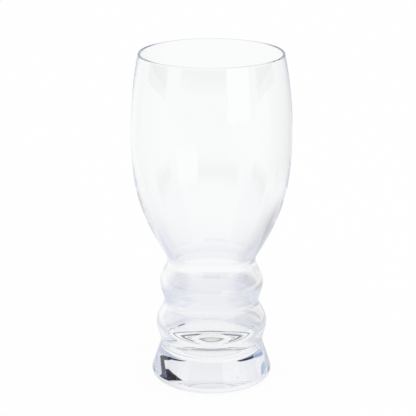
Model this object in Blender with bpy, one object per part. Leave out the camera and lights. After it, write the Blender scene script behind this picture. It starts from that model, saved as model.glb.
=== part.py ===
# A clear drinking glass: a tulip bowl on a stem of two soft rings and a heavy round foot.
# Lengths are in metres and +Z is up. The glass stands on z = 0 with its axis on Z.
# It is turned from one profile, divided at its three waists into four named zones.

import math
from typing import NamedTuple

import bmesh
import bpy
from mathutils import Vector
from mathutils.geometry import interpolate_bezier

# Heights, from the table up
BASE_THICKNESS = 0.0128  # solid glass between the table and the edge of the hollow's floor
FLOOR_DROP = 0.0072  # that edge lies this far below the lower waist
LOWER_RING_RISE = 0.0105  # lower waist to the crest of the lower ring
LOWER_RING_FALL = 0.0128  # that crest to the middle waist
UPPER_RING_RISE = 0.0104  # middle waist to the crest of the upper ring
UPPER_RING_FALL = 0.0127  # that crest to the neck
BELLY_RISE = 0.0706  # neck to the widest part of the bowl
RIM_RISE = 0.0430  # widest part of the bowl to the top of the rim

# Outer radius of the foot, then each waist and crest measured from the one below it
FOOT_RADIUS = 0.0329
LOWER_WAIST_INSET = 0.0050
LOWER_RING_SWELL = 0.0022
MIDDLE_WAIST_INSET = 0.0044
UPPER_RING_SWELL = 0.0023
NECK_INSET = 0.0040
BELLY_SWELL = 0.0188
RIM_INSET = 0.0044

# Rounds of the outer surface
FOOT_EDGE_ROUND = 0.0034
LOWER_WAIST_ROUND = 0.0093
LOWER_RING_ROUND = 0.0101
MIDDLE_WAIST_ROUND = 0.0071
UPPER_RING_ROUND = 0.0121
NECK_ROUND = 0.0072
LEAST_ROUND = 0.0005  # where a thick wall leaves the inner surface almost no round
BOWL_FLARE = math.radians(30.5)  # lean of the bowl where it leaves the neck
BOWL_FULLNESS = 0.79  # 0 is a straight cone, 1 keeps the flare and then stands upright

# Wall thicknesses, measured level
LOWER_RING_WALL = 0.0029
MIDDLE_WAIST_WALL = 0.0030
UPPER_RING_WALL = 0.0030
NECK_WALL = 0.0028
BELLY_WALL = 0.0018
RIM_WALL = 0.0013

# Floor of the hollow, pushed up in the middle, and its rounded corner
FLOOR_CORNER = 0.0104  # the floor's edge lies this far inside the wall of the lower ring
CORNER_DROP = 0.0068  # the corner meets that wall this far below the ring's crest
CORNER_FULLNESS = 2.15  # 2 is a quarter ellipse, more is squarer
FLOOR_DOME = 0.0066  # the middle of the floor stands this far above its edge
DOME_FULLNESS = 3.5  # 2 is a plain dome, more is flatter on top and steeper at the side
DOME_FADE = 1.25  # 1 leaves the edge at an angle, more runs out level

SEAM_GAP = 0.0003  # between two zones
SIDES = 48
ROUND_STEPS = 3
FLOOR_STEPS = 6
BOWL_STEPS = 10
SHOULDER_STEPS = 4
LIP_STEPS = 4
SMOOTH_BELOW = math.radians(40)

GLASS_COLOUR = (0.97, 0.98, 0.985, 1.0)
GLASS_ROUGHNESS = 0.02
GLASS_IOR = 1.5


class Station(NamedTuple):
    """A crest or a waist of the side, where both surfaces of the wall stand upright."""

    height: float
    radius: float
    round: float
    wall: float
    is_waist: bool

    def outside(self):
        return Vector((self.radius, self.height)), self.round

    def inside(self):
        # a wall of even thickness bends more gently inside a waist and more tightly inside a crest
        change = self.wall if self.is_waist else -self.wall
        return Vector((self.radius - self.wall, self.height)), max(self.round + change, LEAST_ROUND)


LOWER_WAIST_HEIGHT = BASE_THICKNESS + FLOOR_DROP
LOWER_WAIST_RADIUS = FOOT_RADIUS - LOWER_WAIST_INSET

LOWER_CREST = Station(
    height=LOWER_WAIST_HEIGHT + LOWER_RING_RISE,
    radius=LOWER_WAIST_RADIUS + LOWER_RING_SWELL,
    round=LOWER_RING_ROUND,
    wall=LOWER_RING_WALL,
    is_waist=False,
)
MIDDLE_WAIST = Station(
    height=LOWER_CREST.height + LOWER_RING_FALL,
    radius=LOWER_CREST.radius - MIDDLE_WAIST_INSET,
    round=MIDDLE_WAIST_ROUND,
    wall=MIDDLE_WAIST_WALL,
    is_waist=True,
)
UPPER_CREST = Station(
    height=MIDDLE_WAIST.height + UPPER_RING_RISE,
    radius=MIDDLE_WAIST.radius + UPPER_RING_SWELL,
    round=UPPER_RING_ROUND,
    wall=UPPER_RING_WALL,
    is_waist=False,
)
NECK = Station(
    height=UPPER_CREST.height + UPPER_RING_FALL,
    radius=UPPER_CREST.radius - NECK_INSET,
    round=NECK_ROUND,
    wall=NECK_WALL,
    is_waist=True,
)
BELLY_HEIGHT = NECK.height + BELLY_RISE
BELLY_RADIUS = NECK.radius + BELLY_SWELL
RIM_HEIGHT = BELLY_HEIGHT + RIM_RISE
RIM_RADIUS = BELLY_RADIUS - RIM_INSET


def spread(start, stop, steps):
    """Evenly spaced numbers from start to stop, both included."""
    return [start + (stop - start) * i / steps for i in range(steps + 1)]


def arc(centre, radius, start, stop, steps=ROUND_STEPS):
    """Points on a circle about centre, from angle start to angle stop."""
    return [centre + radius * Vector((math.cos(a), math.sin(a))) for a in spread(start, stop, steps)]


def s_curve(low, low_round, high, high_round):
    """Points from low up to high, upright at both ends: a round, a straight flank and a round bent back.

    Rounds that are too large for the two ends are reduced together until they touch with no flank.
    """
    across = abs(high.x - low.x)
    rise = high.y - low.y
    largest = (across**2 + rise**2) / (2 * across)
    fit = min(1.0, largest / (low_round + high_round))
    low_round *= fit
    high_round *= fit
    both = low_round + high_round
    reach = math.hypot(both - across, rise)
    lean = math.atan2(rise, both - across) - math.acos(min(1.0, both / reach))
    way = Vector((math.copysign(1.0, high.x - low.x), 1.0))
    turns = [Vector((1 - math.cos(a), math.sin(a))) for a in spread(0.0, lean, ROUND_STEPS)]
    lower = [low + low_round * way * turn for turn in turns]
    upper = [high - high_round * way * turn for turn in reversed(turns)]
    return lower + upper


def ring_side(low, crest, high):
    """One side of a ring, from the waist below it over its crest to the waist above it."""
    return s_curve(*low, *crest) + s_curve(*crest, *high)[1:]


def bowl_side(neck, neck_round, belly, rim):
    """One side of the bowl: a round out of the neck, a full curve to the widest part, an ellipse to the rim."""
    flare = Vector((math.sin(BOWL_FLARE), math.cos(BOWL_FLARE)))
    centre = neck + Vector((neck_round, 0.0))
    start = arc(centre, neck_round, math.pi, math.pi - BOWL_FLARE)
    leave = start[-1]
    corner = leave + flare * (belly.x - leave.x) / flare.x
    handles = [end.lerp(corner, BOWL_FULLNESS) for end in (leave, belly)]
    swell = interpolate_bezier(leave, *handles, belly, BOWL_STEPS + 1)
    top = math.acos(rim.x / belly.x)
    tall = (rim.y - belly.y) / math.sin(top)
    shoulder = [
        belly + Vector((belly.x * (math.cos(a) - 1), tall * math.sin(a)))
        for a in spread(0.0, top, SHOULDER_STEPS)
    ]
    return start + swell[1:] + shoulder[1:]


def floor_corner(start_height, stop_height):
    """The hollow's rounded lower corner between two heights: a quarter superellipse up from the floor's edge."""
    wall, _ = LOWER_CREST.inside()
    tall = wall.y - CORNER_DROP - BASE_THICKNESS
    edge = wall.x - FLOOR_CORNER
    power = 2 / CORNER_FULLNESS
    left = [max(0.0, 1 - (height - BASE_THICKNESS) / tall) for height in (start_height, stop_height)]
    low, high = (math.acos(share ** (1 / power)) for share in left)
    return [
        Vector((edge + FLOOR_CORNER * math.sin(a) ** power, BASE_THICKNESS + tall * (1 - math.cos(a) ** power)))
        for a in spread(low, high, ROUND_STEPS)
    ]


def domed_floor():
    """The hollow's floor from its edge to the axis, level at both ends."""
    wall, _ = LOWER_CREST.inside()
    edge = wall.x - FLOOR_CORNER
    return [
        Vector((edge * t, BASE_THICKNESS + FLOOR_DOME * (1 - t**DOME_FULLNESS) ** DOME_FADE))
        for t in spread(1.0, 0.0, FLOOR_STEPS)
    ]


def parted(points, rise):
    """The same side with its first point moved up or down by half a seam gap."""
    return [points[0] + Vector((0.0, rise * SEAM_GAP / 2))] + points[1:]


def glass_material(name):
    material = bpy.data.materials.new(name)
    material.use_nodes = True
    shader = material.node_tree.nodes["Principled BSDF"]
    shader.inputs["Base Color"].default_value = GLASS_COLOUR
    shader.inputs["Metallic"].default_value = 0.0
    shader.inputs["Roughness"].default_value = GLASS_ROUGHNESS
    shader.inputs["IOR"].default_value = GLASS_IOR
    shader.inputs["Transmission Weight"].default_value = 1.0
    return material


def turned(name, section, closed):
    """A solid turned about Z from a section of (radius, height) points. An open section starts and ends on the axis."""
    bm = bmesh.new()
    corners = [bm.verts.new((p.x, 0.0, p.y)) for p in section]
    following = corners[1:] + corners[:1] if closed else corners[1:]
    for a, b in zip(corners, following):
        bm.edges.new((a, b))
    bmesh.ops.spin(
        bm,
        geom=bm.verts[:] + bm.edges[:],
        cent=(0, 0, 0),
        axis=(0, 0, 1),
        angle=math.tau,
        steps=SIDES,
        use_merge=True,
    )
    bmesh.ops.remove_doubles(bm, verts=bm.verts[:], dist=1e-6)
    bmesh.ops.recalc_face_normals(bm, faces=bm.faces[:])
    mesh = bpy.data.meshes.new(name)
    bm.to_mesh(mesh)
    bm.free()
    mesh.shade_smooth()
    mesh.set_sharp_from_angle(angle=SMOOTH_BELOW)
    mesh.materials.append(glass_material(name + " glass"))
    solid = bpy.data.objects.new(name, mesh)
    bpy.context.scene.collection.objects.link(solid)
    return solid


def make_foot():
    middle = Vector((0.0, 0.0))
    edge_centre = Vector((FOOT_RADIUS - FOOT_EDGE_ROUND, FOOT_EDGE_ROUND))
    edge = arc(edge_centre, FOOT_EDGE_ROUND, -math.pi / 2, 0.0)
    waist = Vector((LOWER_WAIST_RADIUS, LOWER_WAIST_HEIGHT))
    flank = s_curve(edge[-1], FOOT_EDGE_ROUND, waist, LOWER_WAIST_ROUND)
    side = parted(flank[::-1], -1)[::-1]
    hollow = floor_corner(LOWER_WAIST_HEIGHT - SEAM_GAP / 2, BASE_THICKNESS) + domed_floor()[1:]
    turned("foot", [middle] + edge + side[1:] + hollow, closed=False)


def make_lower_ring():
    waist = Vector((LOWER_WAIST_RADIUS, LOWER_WAIST_HEIGHT))
    crest_inside = LOWER_CREST.inside()
    outer = parted(ring_side((waist, LOWER_WAIST_ROUND), LOWER_CREST.outside(), MIDDLE_WAIST.outside()), 1)
    outer = parted(outer[::-1], -1)[::-1]
    corner = floor_corner(LOWER_WAIST_HEIGHT + SEAM_GAP / 2, LOWER_CREST.height - CORNER_DROP)
    upper = s_curve(*crest_inside, *MIDDLE_WAIST.inside())
    inner = parted(upper[::-1], -1) + corner[::-1]
    turned("lower_ring", outer + inner, closed=True)


def make_upper_ring():
    outer = parted(ring_side(MIDDLE_WAIST.outside(), UPPER_CREST.outside(), NECK.outside()), 1)
    outer = parted(outer[::-1], -1)[::-1]
    inner = parted(ring_side(MIDDLE_WAIST.inside(), UPPER_CREST.inside(), NECK.inside()), 1)
    inner = parted(inner[::-1], -1)
    turned("upper_ring", outer + inner, closed=True)


def make_bowl():
    lip_round = RIM_WALL / 2
    lip_height = RIM_HEIGHT - lip_round
    outer = bowl_side(
        *NECK.outside(),
        Vector((BELLY_RADIUS, BELLY_HEIGHT)),
        Vector((RIM_RADIUS, lip_height)),
    )
    inner = bowl_side(
        *NECK.inside(),
        Vector((BELLY_RADIUS - BELLY_WALL, BELLY_HEIGHT)),
        Vector((RIM_RADIUS - RIM_WALL, lip_height)),
    )
    lip = arc(Vector((RIM_RADIUS - lip_round, lip_height)), lip_round, 0.0, math.pi, LIP_STEPS)
    section = parted(outer, 1) + lip[1:-1] + parted(inner, 1)[::-1]
    turned("bowl", section, closed=True)


for old in list(bpy.data.objects):
    bpy.data.objects.remove(old, do_unlink=True)
make_foot()
make_lower_ring()
make_upper_ring()
make_bowl()
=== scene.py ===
import math

import bpy
import numpy as np
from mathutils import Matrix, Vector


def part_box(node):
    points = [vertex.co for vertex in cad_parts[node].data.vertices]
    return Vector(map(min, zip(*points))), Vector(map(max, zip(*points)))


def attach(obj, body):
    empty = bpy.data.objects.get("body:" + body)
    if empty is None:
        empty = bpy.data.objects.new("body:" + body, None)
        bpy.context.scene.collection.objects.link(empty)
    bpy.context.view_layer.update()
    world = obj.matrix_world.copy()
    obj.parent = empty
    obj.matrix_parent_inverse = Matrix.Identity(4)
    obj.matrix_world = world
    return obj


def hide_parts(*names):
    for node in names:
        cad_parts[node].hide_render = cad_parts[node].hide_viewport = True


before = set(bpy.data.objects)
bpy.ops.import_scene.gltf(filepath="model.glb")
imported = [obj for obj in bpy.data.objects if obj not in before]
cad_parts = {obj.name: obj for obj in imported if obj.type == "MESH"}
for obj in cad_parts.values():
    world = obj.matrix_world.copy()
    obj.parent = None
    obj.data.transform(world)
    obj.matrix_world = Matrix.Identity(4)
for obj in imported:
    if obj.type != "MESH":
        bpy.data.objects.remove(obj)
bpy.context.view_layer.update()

scene = bpy.context.scene
white = (1.0, 1.0, 1.0)
print("frame loaded:", ", ".join(sorted(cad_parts)))

# The glass, turned from one profile. Lengths in metres.
# Heights and crest radii come from the frame, the rest from here.
glass = {
    "seamGap": 0.0003,
    "lowerWaistRadius": 0.0279,
    "middleWaistRadius": 0.0257,
    "neckRadius": 0.0240,
    "rimRadius": 0.0384,
    "lowerRingRise": 0.0105,      # waist to crest
    "upperRingRise": 0.0104,
    "bellyRise": 0.0706,          # neck to the widest part
    "footEdgeRound": 0.0034,
    "lowerWaistRound": 0.0093,
    "lowerRingRound": 0.0101,
    "middleWaistRound": 0.0071,
    "upperRingRound": 0.0121,
    "neckRound": 0.0072,
    "bowlFlare": math.radians(30.5),
    "bowlFullness": 0.79,         # 0 is a straight cone
    "lowerRingWall": 0.0029,
    "middleWaistWall": 0.0030,
    "upperRingWall": 0.0030,
    "neckWall": 0.0028,
    "bellyWall": 0.0018,
    "rimWall": 0.0013,
    "floorHeight": 0.0128,        # at the edge of the hollow's floor
    "floorCorner": 0.0104,        # that edge to the wall
    "cornerDrop": 0.0068,         # crest to the top of the corner
    "cornerFullness": 2.15,       # 2 is a quarter ellipse
    "floorDome": 0.0066,          # push-up in the middle of the floor
    "domeFullness": 3.5,
    "domeFade": 1.25,
    "undersideInner": 0.498,      # share of the flat underside's radius that its inner rings reach
    "sides": 160,                 # round the axis
    "undersideCount": 8,          # points along each stretch of the profile
    "arcCount": 16,
    "flankCount": 12,
    "swellCount": 70,
    "shoulderCount": 40,
    "lipCount": 15,
    "floorCount": 60,
    "leastStep": 1e-7,            # points nearer than this are one point
}


def arcPoints(centreR, centreZ, radius, start, stop, count):
    # circle about (centreR, centreZ) from angle start to angle stop
    a = np.linspace(start, stop, count)
    return np.stack([centreR + radius * np.cos(a), centreZ + radius * np.sin(a)], 1)


def sCurve(low, high, count):
    # between two stations, upright at both: an arc, a straight flank and an arc bent back;
    # the flank leans so that it touches both arcs
    (lowR, lowZ, lowRound), (highR, highZ, highRound) = low, high
    across, rise = abs(highR - lowR), highZ - lowZ
    largest = (across**2 + rise**2) / (2 * across)
    fit = min(1.0, largest / (lowRound + highRound))
    lowRound, highRound = lowRound * fit, highRound * fit
    both = lowRound + highRound
    reach = math.hypot(both - across, rise)
    lean = math.atan2(rise, both - across) - math.acos(min(1.0, both / reach))
    way = np.array([math.copysign(1.0, highR - lowR), 1.0])
    a = np.linspace(0.0, lean, count)[:, None]
    turn = np.hstack([1 - np.cos(a), np.sin(a)])
    lowArc = np.array([lowR, lowZ]) + lowRound * way * turn
    highArc = np.array([highR, highZ]) - highRound * way * turn
    return np.vstack([lowArc, highArc[::-1]])


def flanks(g, stations):
    # an S curve from each station to the next
    return [sCurve(low, high, g["flankCount"]) for low, high in zip(stations, stations[1:])]


def bowlSide(g, neck, belly, rim):
    # round out of the neck, cubic Bezier to the widest part, stretch of an ellipse to the rim
    neckR, neckZ, neckRound = neck
    flare, fullness = g["bowlFlare"], g["bowlFullness"]
    start = arcPoints(neckR + neckRound, neckZ, neckRound, math.pi, math.pi - flare, g["arcCount"])
    leave, belly = start[-1], np.asarray(belly)
    corner = leave + np.array([math.sin(flare), math.cos(flare)]) * (belly[0] - leave[0]) / math.sin(flare)
    h1, h2 = leave + fullness * (corner - leave), belly + fullness * (corner - belly)
    t = np.linspace(0, 1, g["swellCount"])[:, None]
    swell = (1 - t)**3 * leave + 3 * (1 - t)**2 * t * h1 + 3 * (1 - t) * t**2 * h2 + t**3 * belly
    top = math.acos(rim[0] / belly[0])
    a = np.linspace(0, top, g["shoulderCount"])
    tall = (rim[1] - belly[1]) / math.sin(top)
    shoulder = np.stack([belly[0] * np.cos(a), belly[1] + tall * np.sin(a)], 1)
    return np.vstack([start, swell[1:], shoulder[1:]])


def hollowBase(g, wallR, crestZ):
    # floor z = edge + dome (1 - t^n)^fade from the axis to its edge,
    # then a quarter superellipse up to the wall
    edgeR, edgeZ = wallR - g["floorCorner"], g["floorHeight"]
    t = np.linspace(0, 1, g["floorCount"])
    dome = np.stack([edgeR * t, edgeZ + g["floorDome"] * (1 - t**g["domeFullness"])**g["domeFade"]], 1)
    a = np.linspace(0, np.pi / 2, g["floorCount"])[1:]
    power = 2 / g["cornerFullness"]
    tall = crestZ - g["cornerDrop"] - edgeZ
    across, up = np.sin(a)**power, 1 - np.maximum(np.cos(a), 0)**power
    return np.vstack([dome, np.stack([edgeR + g["floorCorner"] * across, edgeZ + tall * up], 1)])


def glassProfile(g):
    # (radius, height) from the middle of the underside, up the outside, over the lip, down the inside
    foot, lower, upper, bowl = (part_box(n)[1] for n in ("foot", "lower_ring", "upper_ring", "bowl"))
    half, edge, lip = g["seamGap"] / 2, g["footEdgeRound"], g["rimWall"] / 2
    lowerWaistZ, middleWaistZ, neckZ = foot.z + half, lower.z + half, upper.z + half
    bellyZ, lipZ = neckZ + g["bellyRise"], bowl.z - lip
    flatR = foot.x - edge
    # stations up the outside: radius, height, rounding
    stem = [
        (foot.x, edge, edge),
        (g["lowerWaistRadius"], lowerWaistZ, g["lowerWaistRound"]),
        (lower.x, lowerWaistZ + g["lowerRingRise"], g["lowerRingRound"]),
        (g["middleWaistRadius"], middleWaistZ, g["middleWaistRound"]),
        (upper.x, middleWaistZ + g["upperRingRise"], g["upperRingRound"]),
        (g["neckRadius"], neckZ, g["neckRound"]),
    ]
    # stations of the hollow, from the lower ring up: a wall of even thickness bends
    # more tightly inside a crest (-1) and more gently inside a waist (1)
    walls = [("lowerRingWall", -1), ("middleWaistWall", 1), ("upperRingWall", -1), ("neckWall", 1)]
    hollow = [(r - g[wall], z, bend + way * g[wall]) for (r, z, bend), (wall, way) in zip(stem[2:], walls)]
    outside = [
        # the flat underside: its outer half is one band, which smooth shading rolls gently into the edge
        np.outer(np.linspace(0, g["undersideInner"], g["undersideCount"]), (flatR, 0)),
        arcPoints(flatR, edge, edge, -np.pi / 2, 0, g["arcCount"]),
        *flanks(g, stem),
        bowlSide(g, stem[-1], (bowl.x, bellyZ), (g["rimRadius"], lipZ)),
        arcPoints(g["rimRadius"] - lip, lipZ, lip, 0, np.pi, g["lipCount"]),
    ]
    inside = [
        hollowBase(g, *hollow[0][:2]),
        *flanks(g, hollow),
        bowlSide(g, hollow[-1], (bowl.x - g["bellyWall"], bellyZ), (g["rimRadius"] - g["rimWall"], lipZ)),
    ]
    points = np.vstack(outside + [np.vstack(inside)[::-1]])
    step = np.linalg.norm(np.diff(points, axis=0), axis=1)
    return points[np.concatenate([[True], step > g["leastStep"]])]


def addPiece(name, verts, faces):
    mesh = bpy.data.meshes.new(name)
    mesh.from_pydata(verts.tolist(), [], faces)
    piece = bpy.data.objects.new(name, mesh)
    scene.collection.objects.link(piece)
    return piece


def turnedSurface(name, profile, sides):
    # x = r(u) cos v, y = r(u) sin v, z = z(u); both ends of the profile lie on the axis and close as fans
    v = np.linspace(0, 2 * np.pi, sides, endpoint=False)
    r, z = profile[1:-1].T
    ring = np.stack([np.outer(r, np.cos(v)), np.outer(r, np.sin(v)), np.outer(z, np.ones(sides))], 2)
    verts = np.vstack([ring.reshape(-1, 3), [[0, 0, profile[0, 1]], [0, 0, profile[-1, 1]]]])
    j = np.arange(sides)
    k = (j + 1) % sides
    starts = np.arange(len(r))[:, None] * sides
    low, high = starts[:-1], starts[1:]
    quads = np.stack([low + j, low + k, high + k, high + j], 2).reshape(-1, 4)
    firstPole, lastPole = len(verts) - 2, len(verts) - 1
    lowFan = np.stack([np.full(sides, firstPole), k, j], 1)
    highFan = np.stack([np.full(sides, lastPole), starts[-1] + j, starts[-1] + k], 1)
    piece = addPiece(name, verts, quads.tolist() + lowFan.tolist() + highFan.tolist())
    piece.data.shade_smooth()
    return piece


# Node helpers: a value is either a number, a colour or another node's output
def addNode(tree, kind, inputs=(), **settings):
    node = tree.nodes.new(kind)
    for name, value in settings.items():
        setattr(node, name, value)
    for key, value in dict(inputs).items():
        if isinstance(value, bpy.types.NodeSocket):
            tree.links.new(value, node.inputs[key])
        else:
            node.inputs[key].default_value = value
    return node


def mathNode(tree, operation, a, b=0.0, c=0.0):
    return addNode(tree, "ShaderNodeMath", {0: a, 1: b, 2: c}, operation=operation).outputs[0]


def vectorNode(tree, operation, a, b=(0, 0, 0)):
    return addNode(tree, "ShaderNodeVectorMath", {0: a, 1: b}, operation=operation).outputs


def product(tree, first, *others):
    for value in others:
        first = mathNode(tree, "MULTIPLY", first, value)
    return first


def smoothStep(tree, value, low, high):
    # 0 up to low and 1 from high; the other way round where low is the larger
    node = addNode(tree, "ShaderNodeMapRange", {"Value": value, "From Min": low, "From Max": high},
                   interpolation_type="SMOOTHSTEP")
    return node.outputs["Result"]


def between(tree, value, rise, fall):
    return product(tree, smoothStep(tree, value, *rise), smoothStep(tree, value, *fall))


def mixColour(tree, share, first, second):
    first, second = ((*c, 1) if isinstance(c, tuple) else c for c in (first, second))
    return addNode(tree, "ShaderNodeMix", {0: share, 6: first, 7: second}, data_type="RGBA").outputs[2]


def rayInGlass(tree, ray):
    # 1 for what is seen in the glass or through it
    return mathNode(tree, "MAXIMUM", ray["Is Glossy Ray"], ray["Is Transmission Ray"])


# Clear glass, faintly blue where light runs far inside it, with a breath of haze, faint level striae in the
# stem and scuffs where the foot rubs on the table
clear = {
    "ior": 1.5,
    "absorbColour": (0.42, 0.50, 0.64, 1),
    "absorbDensity": 1.7,         # per metre
    "hazeScale": 70,              # per metre
    "hazeEdges": (0.45, 0.75),    # levels of the noise that it grows between
    "haze": 0.006,                # largest roughness
    "scuffScale": (900, 900, 90),
    "scuffDetail": 4.0,
    "scuffEdges": (0.45, 0.62),
    "scuffRoughness": 0.22,
    "scuffTop": 0.0006,           # height that they end at
    "scuffInner": 0.0262,         # radii that they grow between
    "scuffOuter": 0.0285,
    "striaeScale": (14, 14, 330),
    "striaeDepth": 0.0000004,
    "striaeTop": (0.085, 0.060),  # they fade out up the bowl
}


def noiseAt(tree, place, scale, detail=2.0):
    # scale is one number, or one for each axis
    if isinstance(scale, tuple):
        place = vectorNode(tree, "MULTIPLY", place, scale)["Vector"]
        scale = 1.0
    noise = addNode(tree, "ShaderNodeTexNoise", {"Vector": place, "Scale": scale, "Detail": detail})
    return noise.outputs[0]


def clearGlass(c):
    material = bpy.data.materials.new("clear glass")
    material.use_nodes = True
    tree = material.node_tree
    shader = tree.nodes["Principled BSDF"]
    shader.inputs["Base Color"].default_value = (*white, 1)
    shader.inputs["IOR"].default_value = c["ior"]
    shader.inputs["Transmission Weight"].default_value = 1.0
    place = addNode(tree, "ShaderNodeTexCoord").outputs["Object"]
    parts = addNode(tree, "ShaderNodeSeparateXYZ", {0: place}).outputs
    level = addNode(tree, "ShaderNodeCombineXYZ", {0: parts["X"], 1: parts["Y"]}).outputs[0]
    away = vectorNode(tree, "LENGTH", level)["Value"]
    rubbed = product(tree, smoothStep(tree, parts["Z"], c["scuffTop"], 0.0),
                     smoothStep(tree, away, c["scuffInner"], c["scuffOuter"]))
    marks = smoothStep(tree, noiseAt(tree, place, c["scuffScale"], c["scuffDetail"]), *c["scuffEdges"])
    scuffs = product(tree, rubbed, marks, c["scuffRoughness"])
    breath = smoothStep(tree, noiseAt(tree, place, c["hazeScale"]), *c["hazeEdges"])
    rough = mathNode(tree, "ADD", product(tree, breath, c["haze"]), scuffs)
    tree.links.new(rough, shader.inputs["Roughness"])
    waves = product(tree, noiseAt(tree, place, c["striaeScale"]),
                    smoothStep(tree, parts["Z"], *c["striaeTop"]))
    bump = addNode(tree, "ShaderNodeBump", {"Height": waves, "Distance": c["striaeDepth"]})
    tree.links.new(bump.outputs[0], shader.inputs["Normal"])
    depth = addNode(tree, "ShaderNodeVolumeAbsorption",
                    {"Color": c["absorbColour"], "Density": c["absorbDensity"]})
    tree.links.new(depth.outputs[0], tree.nodes["Material Output"].inputs["Volume"])
    return material


glassPiece = turnedSurface("glass", glassProfile(glass), glass["sides"])
glassPiece.data.materials.append(clearGlass(clear))
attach(glassPiece, "root")
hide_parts("bowl", "upper_ring", "lower_ring", "foot")
print("glass:", len(glassPiece.data.polygons), "faces")

# Floor: a pale table top that keeps a faint shadow. It is white towards the camera; what the glass sees of
# it
# has painted shade: a painted shadow close behind the foot, darker at its sides, to the right and towards
# the camera, with rings of shade under the foot and a small painted dark spot behind it.
floor = {
    "frontRadius": 1.2,
    "backRadius": 6.0,            # to the sides and behind
    "widenAt": (-0.45, -0.20),    # sine of the angle round the floor, -1 in front
    "corners": 96,
    "gap": 0.00005,               # under the foot
    "colour": (0.92, 0.92, 0.92, 1),
    "glowSeen": 0.95,             # share of its own light towards the camera
    "glowInGlass": 0.93,
    "behind": (-0.03, 0.01),      # far colour, painted shadow and painted side shade grow from here towards the back
    # painted shade on the right, seen only in the glass
    "rightShadeAt": (0.08, 0.50),      # sine of the azimuth
    "farColour": (0.965, 0.970, 0.972),
    "rightFarShade": (0.80, 0.80, 0.81),
    "rightShadeFrom": (0.20, 0.42),    # distance from the axis
    # painted shadow of the glass on the floor close behind it, darker on the right
    "paintedShadowColour": (0.85, 0.86, 0.90),
    "paintedShadowFrom": (0.035, 0.055),   # distances from the axis that this painted shadow grows and fades out at
    "paintedShadowTo": (0.25, 0.13),
    "rightPaintedShadow": (0.52, 0.53, 0.55),
    # painted shade at both sides of the glass, seen only in the glass
    "sideShadeColour": (0.71, 0.74, 0.82),
    "sideShadeFrom": (0.050, 0.072),
    "sideShadeTo": (0.140, 0.110),
    "sideShadeAt": (0.10, 0.26),       # sine of the azimuth, to both sides
    "frontAt": (-0.3, -1.1),      # painted shade: it dims towards the camera from here to here
    "frontFarShade": (0.85, 0.86, 0.88),
    "shadeFrom": (0.0, 0.008),    # the shade under the foot lies behind the axis
    "shadeAcross": (0.026, 0.021),    # and ends to both sides
    "shade": {                    # rings from radius to radius, soft edge, half a gap at x = 0, colour
        "middle": (0.0, 0.0135, 0.00025, 0.0, (0.70, 0.70, 0.72)),
        "middleEdge": (0.0136, 0.0145, 0.00025, 0.0, (0.27, 0.24, 0.21)),
        "footFace": (0.0275, 0.0285, 0.0003, 0.0, (0.25, 0.26, 0.29)),
        "footEdge": (0.0322, 0.0352, 0.0005, 0.008, (0.15, 0.16, 0.19)),
    },
    "shadeFade": 0.003,           # soft edge of that gap
    "shadeSpotAt": (-0.0165, 0.048, 0),    # painted shade: a small dark spot behind the foot, on the left, seen only in the glass
    "shadeSpotSize": (0.0026, 0.007, 1),
    "shadeSpotFade": (1.0, 0.6),       # share of that size
    "shadeSpotColour": (0.10, 0.10, 0.13),
}


# what the glass sees of the floor: a pale colour with painted shade and a painted shadow
def paintedFloorTone(tree, f):
    place = addNode(tree, "ShaderNodeTexCoord").outputs["Object"]
    away = vectorNode(tree, "LENGTH", place)["Value"]
    parts = addNode(tree, "ShaderNodeSeparateXYZ", {0: place}).outputs
    aside = mathNode(tree, "ABSOLUTE", parts["X"])
    sine = mathNode(tree, "DIVIDE", parts["X"], away)
    right = smoothStep(tree, sine, *f["rightShadeAt"])
    # behind the glass: far away with painted shade on the right, a painted shadow nearer to it, and painted
    # shade at both sides of it
    # painted shade on the right, far from the glass
    farRightShade = product(tree, right, smoothStep(tree, away, *f["rightShadeFrom"]))
    tone = mixColour(tree, farRightShade, f["farColour"], f["rightFarShade"])
    paintedShadow = mixColour(tree, right, f["paintedShadowColour"], f["rightPaintedShadow"])
    tone = mixColour(tree, between(tree, away, f["paintedShadowFrom"], f["paintedShadowTo"]), tone, paintedShadow)
    # painted shade at both sides of the glass
    sides = product(tree, between(tree, away, f["sideShadeFrom"], f["sideShadeTo"]),
                    smoothStep(tree, mathNode(tree, "ABSOLUTE", sine), *f["sideShadeAt"]))
    tone = mixColour(tree, sides, tone, f["sideShadeColour"])
    tone = mixColour(tree, smoothStep(tree, parts["Y"], *f["behind"]), white, tone)
    # painted shade in front of it, dimming towards the camera
    tone = mixColour(tree, smoothStep(tree, parts["Y"], *f["frontAt"]), tone, f["frontFarShade"])
    # rings of shade under the foot
    underFoot = product(tree, smoothStep(tree, parts["Y"], *f["shadeFrom"]),
                        smoothStep(tree, aside, *f["shadeAcross"]))
    for inner, outer, soft, gap, colour in f["shade"].values():
        ring = between(tree, away, (inner - soft, inner), (outer + soft, outer))
        ring = product(tree, ring, smoothStep(tree, aside, gap - f["shadeFade"], gap), underFoot)
        tone = mixColour(tree, ring, tone, colour)
    # the painted dark spot, an ellipse
    fromShadeSpot = vectorNode(tree, "SUBTRACT", place, f["shadeSpotAt"])["Vector"]
    fromShadeSpot = vectorNode(tree, "DIVIDE", fromShadeSpot, f["shadeSpotSize"])["Vector"]
    fromShadeSpot = vectorNode(tree, "LENGTH", fromShadeSpot)["Value"]
    return mixColour(tree, smoothStep(tree, fromShadeSpot, *f["shadeSpotFade"]), tone, f["shadeSpotColour"])


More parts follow.
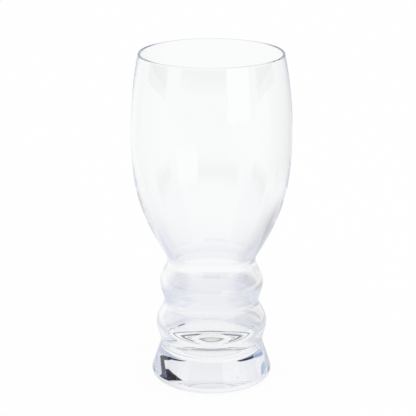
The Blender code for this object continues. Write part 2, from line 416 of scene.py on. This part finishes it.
def floorMaterial(f):
    material = bpy.data.materials.new("pale floor")
    material.use_nodes = True
    tree = material.node_tree
    tree.nodes.clear()
    ray = addNode(tree, "ShaderNodeLightPath").outputs
    share = mathNode(tree, "MAXIMUM", product(tree, ray["Is Camera Ray"], f["glowSeen"]),
                     product(tree, rayInGlass(tree, ray), f["glowInGlass"]))
    tone = mixColour(tree, ray["Is Camera Ray"], paintedFloorTone(tree, f), white)
    glow = addNode(tree, "ShaderNodeEmission", {"Color": tone, "Strength": 1.0}).outputs[0]
    matt = addNode(tree, "ShaderNodeBsdfDiffuse", {"Color": f["colour"]}).outputs[0]
    both = addNode(tree, "ShaderNodeMixShader", {0: share, 1: matt, 2: glow}).outputs[0]
    addNode(tree, "ShaderNodeOutputMaterial", {"Surface": both})
    return material


def paleFloor(f):
    # x = reach cos v, y = reach sin v; reach grows from frontRadius to backRadius as sin v crosses widenAt
    v = np.linspace(0, 2 * np.pi, f["corners"], endpoint=False)
    reach = np.interp(np.sin(v), f["widenAt"], (f["frontRadius"], f["backRadius"]))
    verts = np.stack([reach * np.cos(v), reach * np.sin(v), np.full(f["corners"], -f["gap"])], 1)
    piece = addPiece("floor", verts, [list(range(f["corners"]))])
    piece.data.materials.append(floorMaterial(f))
    return piece


paleFloor(floor)
print("floor:", floor["frontRadius"], "m in front,", floor["backRadius"], "m behind")


def oblong(left, right, low, high):
    # corners of a card with level and upright edges
    return [(left, low), (left, high), (right, high), (right, low)]


# Surroundings: white towards the camera; in the glass a white sweep that fades upwards,
# with darker cards round it. Degrees: azimuth 0 is behind the glass, 90 right, 180 behind the camera.
surroundings = {
    "plainLevel": 0.95,           # light that falls on surfaces
    "sweep": [                    # elevation and colour
        (-90, (0.98, 0.985, 0.99)),
        (-8, (0.98, 0.985, 0.99)),
        (23, (0.95, 0.95, 0.96)),
        (44, (0.90, 0.90, 0.92)),
        (52, (0.74, 0.745, 0.78)),
        (90, (0.55, 0.56, 0.60)),
    ],
    "cameraSide": (120, 20, (0.79, 0.80, 0.82)),     # azimuth that it starts at, soft edge, colour
    "cards": {                    # corners as azimuth and elevation, clockwise; soft edge; colour
        "rightBack": (oblong(8, 70, -30, 0), 8, (0.87, 0.87, 0.88)),
        "rightEnd": (oblong(45, 135, -70, 8), 30, (0.74, 0.75, 0.78)),
        "leftEnd": (oblong(-135, -55, -70, 8), 30, (0.82, 0.83, 0.86)),
        "rightSide": (oblong(72, 118, 10, 50), 8, (0.56, 0.60, 0.74)),
        "leftSide": (oblong(-118, -72, 10, 50), 8, (0.56, 0.60, 0.74)),
        "frontRight": (oblong(136, 181, 6, 14), 4, (0.22, 0.23, 0.26)),
        "frontLeft": (oblong(-181, -136, 6, 14), 4, (0.22, 0.23, 0.26)),
        "softBox": (oblong(123, 157, -10, 14.5), 1.0, (1.20, 1.21, 1.23)),
        "rightDim": (oblong(76, 108, -2, 7), 3, (0.06, 0.06, 0.07)),
        "leftDim": (oblong(-108, -74, -2, 7), 3, (0.06, 0.06, 0.07)),
        "baseLine": (oblong(-65, 65, 55, 66), 1.0, (0.32, 0.33, 0.36)),
        "rightHaze": ([(28, 25.0), (46, 26.2), (70, 27.8), (70, 26.0), (50, 25.3)], 0.4,
                      (0.56, 0.60, 0.73)),
        "rightBlue": ([(48, 22.0), (48, 23.6), (72, 24.0), (72, 19.0), (60, 19.3)], 1.5,
                      (0.66, 0.70, 0.84)),
        "rightDark": ([(22, 22.8), (22, 23.2), (28, 23.5), (39, 23.45), (47, 22.8), (47, 17.0)], 0.2,
                      (0.004, 0.004, 0.012)),
        "rightDarkEnd": ([(47, 17.0), (47, 22.3), (58, 19.2), (58, 16.0)], 0.2,
                         (0.004, 0.004, 0.012)),
        "rightHook": ([(44, 22.9), (47.5, 24.1), (50, 24.5), (59, 24.5), (55, 22.5), (51, 20.5),
                       (46.5, 20.5)], 0.3, (0.012, 0.013, 0.030)),
        "rightLine": ([(36, 24.55), (36, 25.0), (50, 25.15), (58, 24.95), (61, 24.5), (57, 24.2),
                       (48, 24.35)], 0.15, (0.012, 0.012, 0.030)),
        "rightLineThin": ([(19.5, 24.28), (36, 25.0), (36, 24.6), (21, 24.22)], 0.1,
                          (0.05, 0.055, 0.12)),
        "rightFringe": ([(22, 23.2), (22, 23.4), (28, 23.65), (33, 23.62), (28, 23.5)], 0.05,
                        (0.50, 0.24, 0.08)),
        "rightGleam": ([(42, 21.6), (43, 22.6), (47, 22.2), (45, 21.2)], 0.4,
                       (0.09, 0.13, 0.34)),
        "leftHaze": ([(-70, 26.2), (-70, 27.5), (-30, 25.1), (-38, 25.4)], 0.4,
                     (0.62, 0.66, 0.80)),
        "leftLine": ([(-38, 24.95), (-38, 25.45), (-20, 24.42), (-19.5, 24.25), (-22, 24.22)], 0.15,
                     (0.030, 0.034, 0.090)),
        "leftLineEnd": ([(-62, 25.2), (-62, 26.0), (-52, 25.9), (-38, 25.45), (-38, 24.95),
                         (-50, 25.1)], 0.3, (0.32, 0.38, 0.62)),
        "leftPatch": ([(-67, 19.5), (-67, 22.0), (-60, 23.0), (-53, 22.6), (-53, 20.8),
                       (-60, 19.8)], 0.8, (0.42, 0.50, 0.74)),
    },
}


def sweepTone(tree, elevation, sweep):
    # straight blends from each elevation's colour to the next
    lowest, highest = sweep[0][0], sweep[-1][0]
    share = addNode(tree, "ShaderNodeMapRange",
                    {"Value": elevation, "From Min": lowest, "From Max": highest})
    ramp = addNode(tree, "ShaderNodeValToRGB", {0: share.outputs["Result"]})
    stops = ramp.color_ramp.elements
    while len(stops) < len(sweep):
        stops.new(0.5)
    for stop, (height, colour) in zip(stops, sweep):
        stop.position = (height - lowest) / (highest - lowest)
        stop.color = (*colour, 1)
    return ramp.outputs["Color"]


def cardShare(tree, azimuth, elevation, corners, soft):
    # one inside the card and none outside: the product of a soft step across each edge
    share = 1.0
    for (a0, e0), (a1, e1) in zip(corners, corners[1:] + corners[:1]):
        long = math.hypot(a1 - a0, e1 - e0)
        byA, byE = (e1 - e0) / long, (a0 - a1) / long
        inward = mathNode(tree, "MULTIPLY_ADD", azimuth, byA, -a0 * byA - e0 * byE)
        inward = mathNode(tree, "MULTIPLY_ADD", elevation, byE, inward)
        share = product(tree, smoothStep(tree, inward, -soft, 0.0), share)
    return share


def studioWorld(s):
    world = bpy.data.worlds.new("studio")
    scene.world = world
    world.use_nodes = True
    tree = world.node_tree
    background = tree.nodes["Background"]
    ray = addNode(tree, "ShaderNodeLightPath").outputs
    place = addNode(tree, "ShaderNodeTexCoord").outputs["Generated"]
    way = addNode(tree, "ShaderNodeSeparateXYZ", {0: place}).outputs
    azimuth = mathNode(tree, "DEGREES", mathNode(tree, "ARCTAN2", way["X"], way["Y"]))
    elevation = mathNode(tree, "DEGREES", mathNode(tree, "ARCSINE", way["Z"]))
    tone = sweepTone(tree, elevation, s["sweep"])
    start, soft, colour = s["cameraSide"]
    towardsCamera = smoothStep(tree, mathNode(tree, "ABSOLUTE", azimuth), start, start + soft)
    tone = mixColour(tree, towardsCamera, tone, colour)
    for corners, soft, colour in s["cards"].values():
        tone = mixColour(tree, cardShare(tree, azimuth, elevation, corners, soft), tone, colour)
    tone = mixColour(tree, ray["Is Camera Ray"], tone, white)
    seen = mathNode(tree, "MAXIMUM", ray["Is Camera Ray"], rayInGlass(tree, ray))
    level = addNode(tree, "ShaderNodeMapRange",
                    {"Value": seen, "To Min": s["plainLevel"], "To Max": 1.0}).outputs["Result"]
    tree.links.new(mixColour(tree, seen, white, tone), background.inputs["Color"])
    tree.links.new(level, background.inputs["Strength"])


studioWorld(surroundings)
print("surroundings:", len(surroundings["cards"]), "cards")

# Soft box in front, to the right of the camera
softBox = {
    "azimuth": math.radians(140),
    "distance": 0.55,
    "width": 0.36,
    "bottom": 0.02,
    "top": 0.45,
    "level": 1.0,                 # brightness of its face
}


def softBoxLight(b):
    tall = b["top"] - b["bottom"]
    lamp = bpy.data.lights.new("soft box", "AREA")
    lamp.shape = "RECTANGLE"
    lamp.size, lamp.size_y = b["width"], tall
    lamp.energy = b["level"] * math.pi * b["width"] * tall
    holder = bpy.data.objects.new("soft box", lamp)
    holder.location = (b["distance"] * math.sin(b["azimuth"]), b["distance"] * math.cos(b["azimuth"]),
                       b["bottom"] + tall / 2)
    holder.rotation_euler = (math.pi / 2, 0, math.pi - b["azimuth"])
    # its reflection is the card of the same name in the surroundings
    holder.visible_camera = holder.visible_glossy = holder.visible_transmission = False
    scene.collection.objects.link(holder)


softBoxLight(softBox)
print("soft box:", softBox["width"], "m wide")

# Camera: level distance, height, downward pitch and lens fitted to the outline
view = {
    "distance": 0.7600,
    "height": 0.3387,
    "pitch": math.radians(17.773),
    "lens": 128.56,               # lens and sensor in millimetres
    "sensor": 36.0,
    "sideways": -3.5 / 416,       # the axis stands right of the middle of the frame
    "bounces": 1024,              # light runs far round inside the foot
}
camera = bpy.data.cameras.new("camera")
camera.lens = view["lens"]
camera.sensor_width = view["sensor"]
camera.shift_x = view["sideways"]
cameraObject = bpy.data.objects.new("camera", camera)
cameraObject.location = (0, -view["distance"], view["height"])
cameraObject.rotation_euler = (math.pi / 2 - view["pitch"], 0, 0)
scene.collection.objects.link(cameraObject)
scene.camera = cameraObject
scene.view_settings.view_transform = "Standard"
cycles = scene.cycles
cycles.max_bounces = cycles.transmission_bounces = cycles.glossy_bounces = view["bounces"]
print("camera set")
